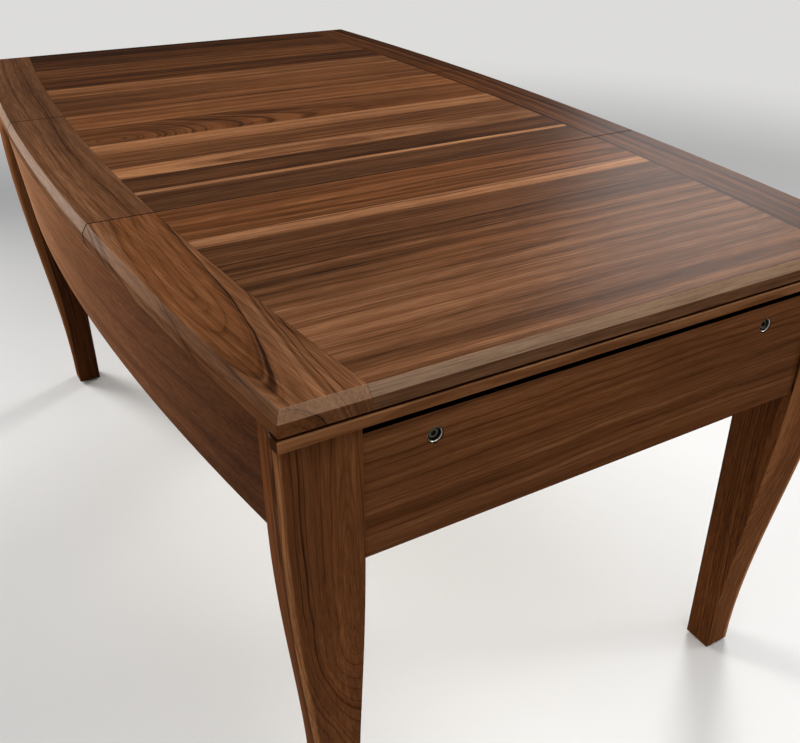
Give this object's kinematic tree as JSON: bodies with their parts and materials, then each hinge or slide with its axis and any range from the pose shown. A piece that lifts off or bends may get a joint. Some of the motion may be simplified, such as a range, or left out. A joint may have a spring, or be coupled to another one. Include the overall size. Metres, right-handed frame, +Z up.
{
  "type": "board game table",
  "caption": "Boat-shaped walnut game table: chamfered lift-off leaves over a sunken cloth-lined play vault, bowed long aprons, S-curved tapered legs, metal sockets in the ends.",
  "frame": {"origin": "on the floor, under the middle of the table", "axes": "+X along the length, towards the end nearest the camera; +Y across, so the long side seen in the picture is at -Y; +Z up"},
  "size_m": [1.602, 0.946, 0.762],
  "materials": {
    "walnut_top": "oiled walnut planks and rails, satin",
    "walnut_frame": "oiled walnut, satin",
    "birch_ply": "plain sanded birch",
    "play_cloth": "close-woven play cloth on a thin foam backing",
    "stainless_steel": "turned stainless steel",
    "blackened_steel": "blackened socket-head screw",
    "glide_nylon": "moulded nylon"
  },
  "bodies": {
    "table_base": {"leg_near_left": "walnut_frame", "leg_near_right": "walnut_frame", "leg_far_left": "walnut_frame", "leg_far_right": "walnut_frame", "long_apron_left": "walnut_frame", "long_apron_right": "walnut_frame", "end_apron_near": "walnut_frame", "end_apron_far": "walnut_frame", "rim_near": "walnut_frame", "rim_far": "walnut_frame", "rim_left": "walnut_frame", "rim_right": "walnut_frame", "vault_wall_near": "walnut_frame", "vault_wall_far": "walnut_frame", "vault_wall_left": "walnut_frame", "vault_wall_right": "walnut_frame", "play_board": "birch_ply", "play_mat": "play_cloth", "bearer_far": "birch_ply", "bearer_middle": "birch_ply", "bearer_near": "birch_ply", "corner_block_near_left": "birch_ply", "corner_block_near_right": "birch_ply", "corner_block_far_left": "birch_ply", "corner_block_far_right": "birch_ply", "dock_socket_near_left": "stainless_steel", "dock_screw_near_left": "blackened_steel", "dock_socket_near_right": "stainless_steel", "dock_screw_near_right": "blackened_steel", "dock_socket_far_left": "stainless_steel", "dock_screw_far_left": "blackened_steel", "dock_socket_far_right": "stainless_steel", "dock_screw_far_right": "blackened_steel", "glide_near_left": "glide_nylon", "glide_near_right": "glide_nylon", "glide_far_left": "glide_nylon", "glide_far_right": "glide_nylon"},
    "leaf_far": {"leaf_far_panel": "walnut_top", "leaf_far_rail_left": "walnut_top", "leaf_far_rail_right": "walnut_top", "leaf_far_batten_left": "walnut_frame", "leaf_far_batten_right": "walnut_frame"},
    "leaf_middle": {"leaf_middle_panel": "walnut_top", "leaf_middle_rail_left": "walnut_top", "leaf_middle_rail_right": "walnut_top", "leaf_middle_batten_left": "walnut_frame", "leaf_middle_batten_right": "walnut_frame"},
    "leaf_near": {"leaf_near_panel": "walnut_top", "leaf_near_rail_left": "walnut_top", "leaf_near_rail_right": "walnut_top", "leaf_near_batten_left": "walnut_frame", "leaf_near_batten_right": "walnut_frame"}
  },
  "joints": [
    {"name": "leaf_far_lift", "type": "slide", "parent": "table_base", "child": "leaf_far", "axis": [0, 0, 1], "range_m": [0, 0.25]},
    {"name": "leaf_middle_lift", "type": "slide", "parent": "table_base", "child": "leaf_middle", "axis": [0, 0, 1], "range_m": [0, 0.25]},
    {"name": "leaf_near_lift", "type": "slide", "parent": "table_base", "child": "leaf_near", "axis": [0, 0, 1], "range_m": [0, 0.25]}
  ]
}
